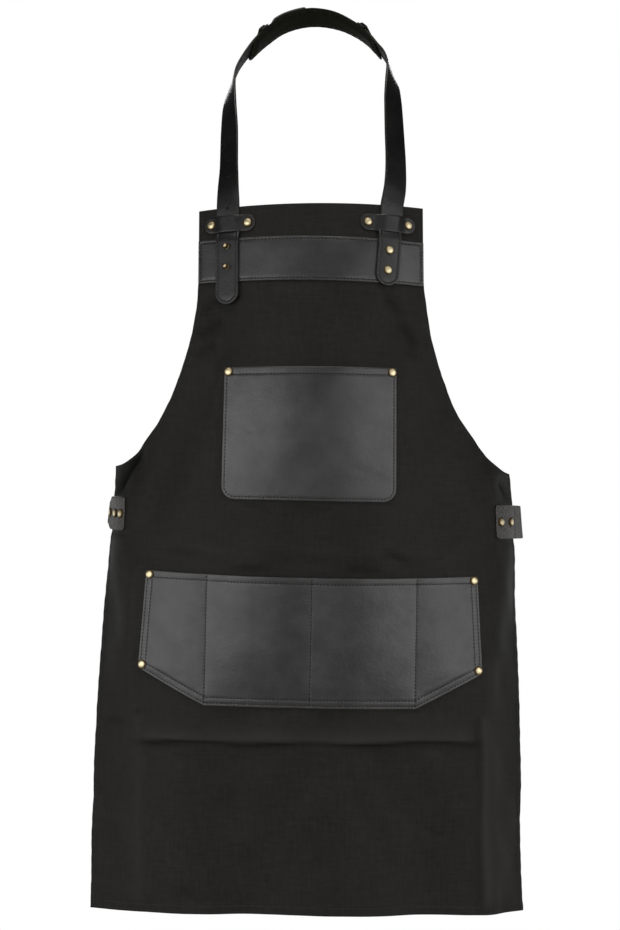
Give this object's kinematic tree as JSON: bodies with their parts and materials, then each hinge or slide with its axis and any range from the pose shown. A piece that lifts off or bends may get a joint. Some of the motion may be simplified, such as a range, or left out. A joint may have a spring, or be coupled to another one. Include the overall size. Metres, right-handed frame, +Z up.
{
  "type": "work apron",
  "caption": "Bib apron of dark canvas with a leather chest band, patch pockets, riveted neck straps with a padded nape and a waist strap, in its worn form.",
  "frame": {"origin": "middle of the inner face of the neck pad, where the apron hangs on the nape", "axes": "+Z up, the front of the apron faces -Y, +X is to the right as seen from the front"},
  "size_m": [0.536, 0.2535, 1.1327],
  "materials": {
    "canvas": "dyed cotton canvas, matt",
    "leather": "smooth waxed, satin",
    "suede": "napped, matt",
    "brass": "antique, polished on the caps",
    "clasp": "matt moulded"
  },
  "bodies": {
    "root": {"canvas_body": "canvas", "chest_band": "leather", "chest_pocket": "leather", "lower_pocket": "leather", "keeper_left": "leather", "keeper_right": "leather", "strap_left": "leather", "strap_right": "leather", "neck_pad": "suede", "pad_keeper_left": "leather", "pad_keeper_right": "leather", "waist_tab_left": "leather", "waist_strap_left": "leather", "waist_strap_right": "leather", "waist_clasp": "clasp", "keeper_left_rivet_left": "brass", "keeper_left_rivet_right": "brass", "keeper_right_rivet_left": "brass", "keeper_right_rivet_right": "brass", "strap_stud_1": "brass", "strap_stud_2": "brass", "strap_rivet_1": "brass", "strap_rivet_2": "brass", "chest_rivet_left": "brass", "pocket_rivet_top_left": "brass", "pocket_rivet_bottom_left": "brass", "chest_rivet_right": "brass", "pocket_rivet_top_right": "brass", "pocket_rivet_bottom_right": "brass", "waist_rivet_left_1": "brass", "waist_rivet_left_2": "brass", "waist_rivet_left_3": "brass", "waist_rivet_right_1": "brass", "waist_rivet_right_2": "brass"}
  },
  "joints": []
}
